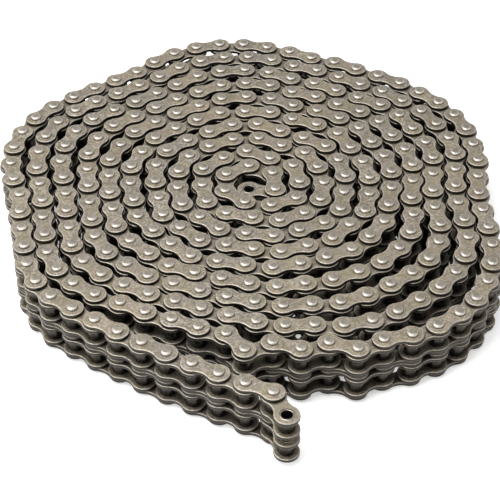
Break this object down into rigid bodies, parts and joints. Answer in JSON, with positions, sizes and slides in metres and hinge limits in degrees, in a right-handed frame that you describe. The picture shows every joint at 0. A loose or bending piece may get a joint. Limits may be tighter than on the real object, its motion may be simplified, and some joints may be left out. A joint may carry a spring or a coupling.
{
  "type": "roller chain",
  "caption": "Duplex riveted link chain with waisted plates, pins and bushes, lying on its side wound into a flat round coil, with a loose end that swings.",
  "frame": {"origin": "middle of the coil's bounding box, on the plane that the pin ends rest on", "axes": "+Z along the pins, up; +Y the long way of the coil, away from the free end; +X to the right with the free end in front"},
  "size_m": [0.1782, 0.2102, 0.0221],
  "materials": {
    "plate_steel": "matt warm grey, oiled, lightly stained",
    "bush_steel": "dark, glossy with oil",
    "pin_steel": "bright, satin riveted ends"
  },
  "bodies": {
    "coil": {"coil_bottom_outer_plates": "plate_steel", "coil_top_outer_plates": "plate_steel", "coil_lower_centre_plates": "plate_steel", "coil_upper_centre_plates": "plate_steel", "coil_inner_plates_1": "plate_steel", "coil_inner_plates_2": "plate_steel", "coil_inner_plates_3": "plate_steel", "coil_inner_plates_4": "plate_steel", "coil_lower_bushes": "bush_steel", "coil_upper_bushes": "bush_steel", "coil_pins": "pin_steel"},
    "inner_link_6": {"inner_link_6_lower_plates": "plate_steel", "inner_link_6_lower_bushes": "bush_steel", "inner_link_6_upper_plates": "plate_steel", "inner_link_6_upper_bushes": "bush_steel"},
    "pin_link_6": {"pin_link_6_outer_plates": "plate_steel", "pin_link_6_centre_plates": "plate_steel", "pin_link_6_pins": "pin_steel"},
    "inner_link_5": {"inner_link_5_lower_plates": "plate_steel", "inner_link_5_lower_bushes": "bush_steel", "inner_link_5_upper_plates": "plate_steel", "inner_link_5_upper_bushes": "bush_steel"},
    "pin_link_5": {"pin_link_5_outer_plates": "plate_steel", "pin_link_5_centre_plates": "plate_steel", "pin_link_5_pins": "pin_steel"},
    "inner_link_4": {"inner_link_4_lower_plates": "plate_steel", "inner_link_4_lower_bushes": "bush_steel", "inner_link_4_upper_plates": "plate_steel", "inner_link_4_upper_bushes": "bush_steel"},
    "pin_link_4": {"pin_link_4_outer_plates": "plate_steel", "pin_link_4_centre_plates": "plate_steel", "pin_link_4_pins": "pin_steel"},
    "inner_link_3": {"inner_link_3_lower_plates": "plate_steel", "inner_link_3_lower_bushes": "bush_steel", "inner_link_3_upper_plates": "plate_steel", "inner_link_3_upper_bushes": "bush_steel"},
    "pin_link_3": {"pin_link_3_outer_plates": "plate_steel", "pin_link_3_centre_plates": "plate_steel", "pin_link_3_pins": "pin_steel"},
    "inner_link_2": {"inner_link_2_lower_plates": "plate_steel", "inner_link_2_lower_bushes": "bush_steel", "inner_link_2_upper_plates": "plate_steel", "inner_link_2_upper_bushes": "bush_steel"},
    "pin_link_2": {"pin_link_2_outer_plates": "plate_steel", "pin_link_2_centre_plates": "plate_steel", "pin_link_2_pins": "pin_steel"},
    "inner_link_1": {"inner_link_1_lower_plates": "plate_steel", "inner_link_1_lower_bushes": "bush_steel", "inner_link_1_upper_plates": "plate_steel", "inner_link_1_upper_bushes": "bush_steel"},
    "pin_link_1": {"pin_link_1_outer_plates": "plate_steel", "pin_link_1_centre_plates": "plate_steel", "pin_link_1_pins": "pin_steel"},
    "end_link_lower": {"end_link_lower_plates": "plate_steel", "end_link_lower_bushes": "bush_steel"},
    "end_link_upper": {"end_link_upper_plates": "plate_steel", "end_link_upper_bushes": "bush_steel"}
  },
  "joints": [
    {"name": "inner_link_6_hinge", "type": "hinge", "parent": "coil", "child": "inner_link_6", "pos_m": [-0.07542, -0.02175, 0.01105], "axis": [0, 0, 1], "range_deg": [-25, 0]},
    {"name": "pin_link_6_hinge", "type": "hinge", "parent": "inner_link_6", "child": "pin_link_6", "pos_m": [-0.0737, -0.03112, 0.01105], "axis": [0, 0, 1], "range_deg": [-25, 0]},
    {"name": "inner_link_5_hinge", "type": "hinge", "parent": "pin_link_6", "child": "inner_link_5", "pos_m": [-0.06986, -0.03984, 0.01105], "axis": [0, 0, 1], "range_deg": [-25, 0]},
    {"name": "pin_link_5_hinge", "type": "hinge", "parent": "inner_link_5", "child": "pin_link_5", "pos_m": [-0.06414, -0.04746, 0.01105], "axis": [0, 0, 1], "range_deg": [-25, 0]},
    {"name": "inner_link_4_hinge", "type": "hinge", "parent": "pin_link_5", "child": "inner_link_4", "pos_m": [-0.05664, -0.05332, 0.01105], "axis": [0, 0, 1], "range_deg": [-25, 0]},
    {"name": "pin_link_4_hinge", "type": "hinge", "parent": "inner_link_4", "child": "pin_link_4", "pos_m": [-0.04897, -0.05897, 0.01105], "axis": [0, 0, 1], "range_deg": [-25, 0]},
    {"name": "inner_link_3_hinge", "type": "hinge", "parent": "pin_link_4", "child": "inner_link_3", "pos_m": [-0.04115, -0.06441, 0.01105], "axis": [0, 0, 1], "range_deg": [-25, 0]},
    {"name": "pin_link_3_hinge", "type": "hinge", "parent": "inner_link_3", "child": "pin_link_3", "pos_m": [-0.03318, -0.06962, 0.01105], "axis": [0, 0, 1], "range_deg": [-25, 1]},
    {"name": "inner_link_2_hinge", "type": "hinge", "parent": "pin_link_3", "child": "inner_link_2", "pos_m": [-0.02507, -0.07462, 0.01105], "axis": [0, 0, 1], "range_deg": [-25, 1]},
    {"name": "pin_link_2_hinge", "type": "hinge", "parent": "inner_link_2", "child": "pin_link_2", "pos_m": [-0.01682, -0.07938, 0.01105], "axis": [0, 0, 1], "range_deg": [-25, 2]},
    {"name": "inner_link_1_hinge", "type": "hinge", "parent": "pin_link_2", "child": "inner_link_1", "pos_m": [-0.00844, -0.08391, 0.01105], "axis": [0, 0, 1], "range_deg": [-25, 4]},
    {"name": "pin_link_1_hinge", "type": "hinge", "parent": "inner_link_1", "child": "pin_link_1", "pos_m": [0.00006, -0.0882, 0.01105], "axis": [0, 0, 1], "range_deg": [-25, 10]},
    {"name": "end_link_lower_hinge", "type": "hinge", "parent": "pin_link_1", "child": "end_link_lower", "pos_m": [0.00868, -0.09226, 0.01105], "axis": [0, 0, 1], "range_deg": [-60, 60]},
    {"name": "end_link_upper_hinge", "type": "hinge", "parent": "pin_link_1", "child": "end_link_upper", "pos_m": [0.00868, -0.09226, 0.01105], "axis": [0, 0, 1], "range_deg": [-60, 60]}
  ]
}
